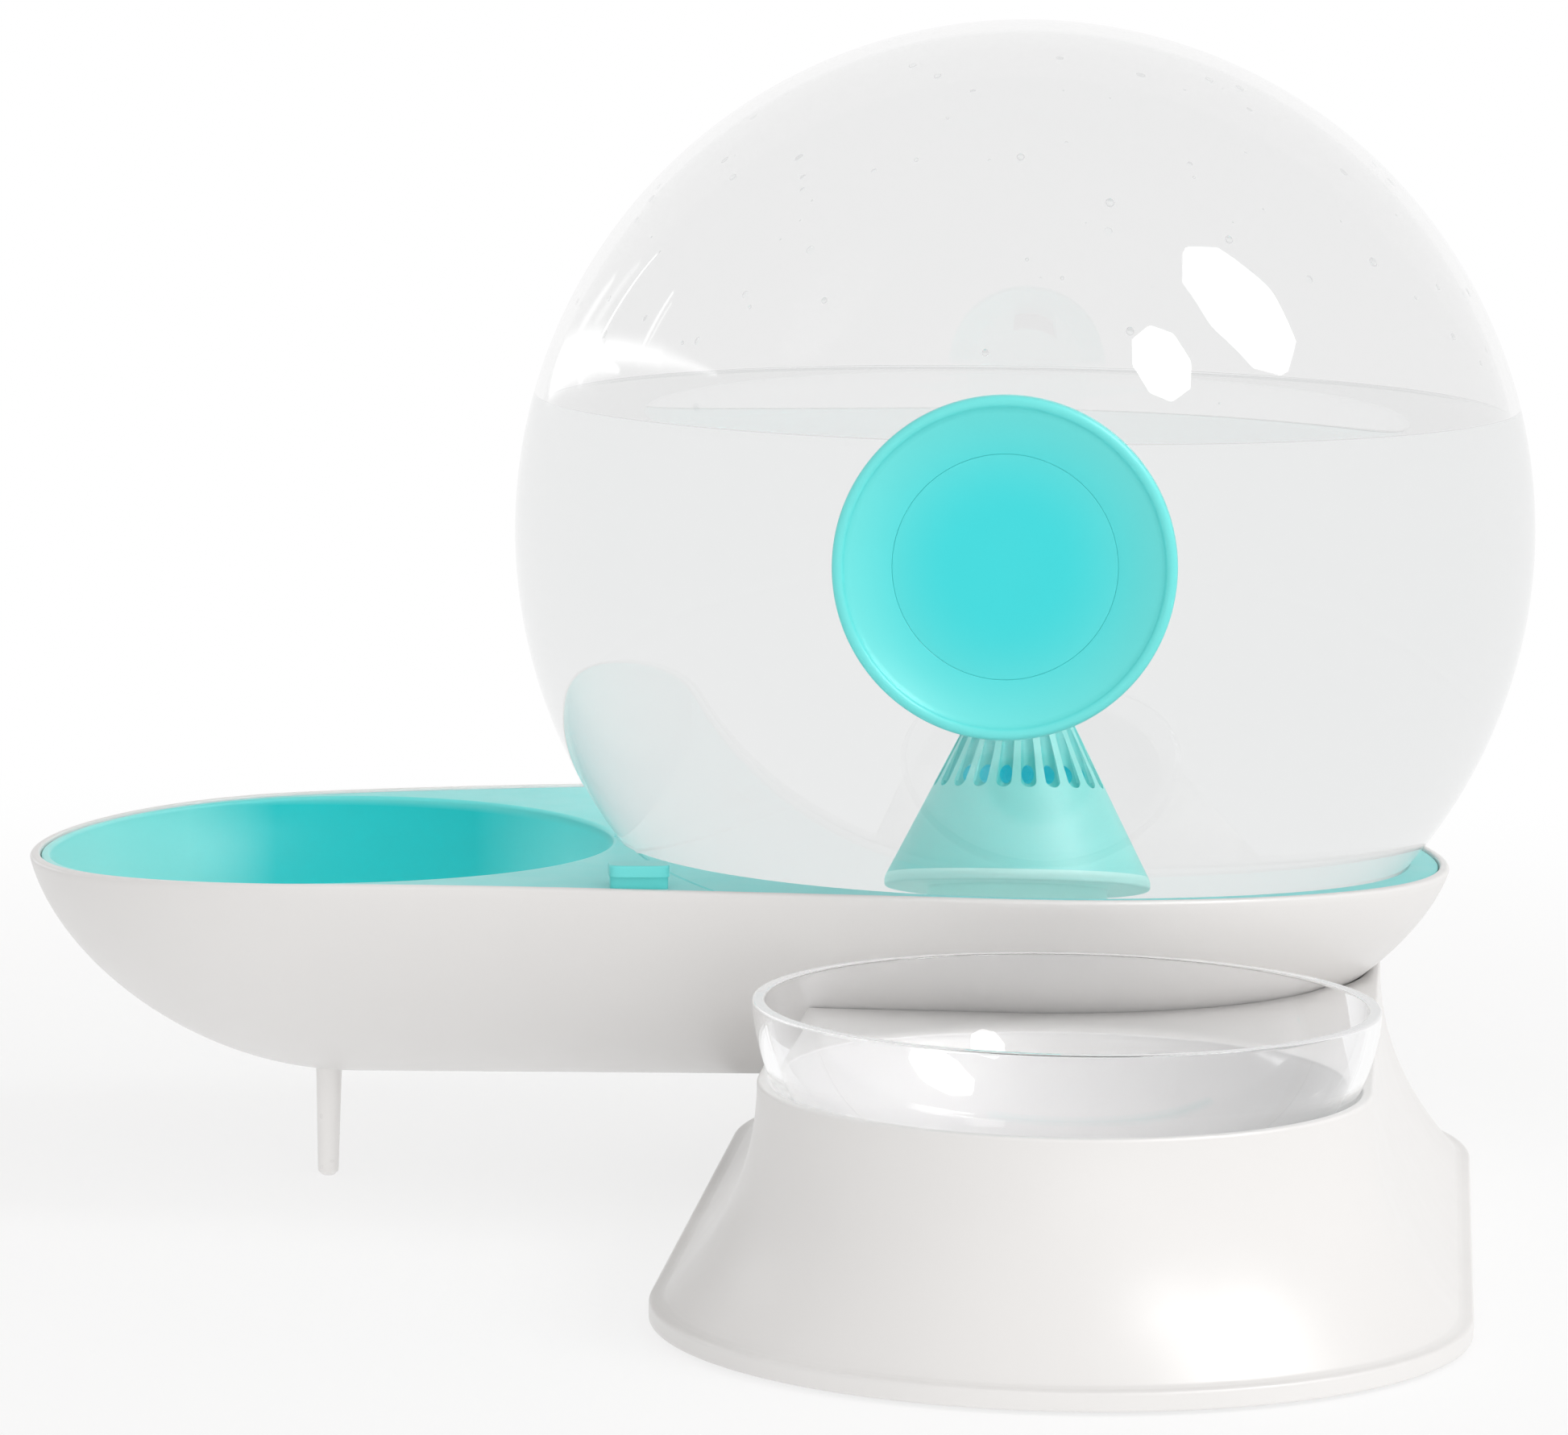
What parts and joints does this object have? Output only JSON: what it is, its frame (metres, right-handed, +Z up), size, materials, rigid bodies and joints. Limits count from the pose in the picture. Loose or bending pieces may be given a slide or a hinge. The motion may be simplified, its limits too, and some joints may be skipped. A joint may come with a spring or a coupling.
{
  "type": "pet food bowl with gravity water dispenser",
  "caption": "Clear globe water tank seated on a boat shaped drinking tray, with a clear food bowl in front, all held by one flared stand and a thin leg under the bow.",
  "frame": {"origin": "on the floor, at the middle of the whole object's plan", "axes": "+X along the tray from its bow to the globe, +Y from the food bowl to the back, +Z up"},
  "size_m": [0.2647, 0.2855, 0.2056],
  "materials": {
    "white_shell": "satin moulded plastic",
    "white_peg": "satin moulded plastic",
    "teal_plastic": "satin moulded plastic",
    "clear_plastic": "clear, polished",
    "soft_grey": "soft, matte",
    "spring_wire": "drawn wire"
  },
  "bodies": {
    "station": {"stand_shell": "white_shell", "rubber_feet": "soft_grey", "food_bowl": "clear_plastic", "water_tray": "white_shell", "support_leg": "white_peg", "bowl_insert": "teal_plastic", "seat_insert": "teal_plastic", "tank_globe": "clear_plastic", "strainer_cone": "teal_plastic", "outlet_seal": "soft_grey", "outlet_nut": "teal_plastic", "valve_spring": "spring_wire"},
    "cap": {"fill_cap": "teal_plastic", "cap_centre": "teal_plastic", "cap_seal": "soft_grey"},
    "valve": {"valve_stem": "white_peg", "valve_disc": "soft_grey"}
  },
  "joints": [
    {"name": "cap_pull", "type": "slide", "parent": "station", "child": "cap", "axis": [-0.1547, -0.9876, 0.0279], "range_m": [0, 0.03]},
    {"name": "valve_lift", "type": "slide", "parent": "station", "child": "valve", "axis": [0, 0, 1], "range_m": [0, 0.002], "stiffness_N_per_m": 60, "springref_m": -0.004, "deforming": ["valve_spring"]}
  ]
}
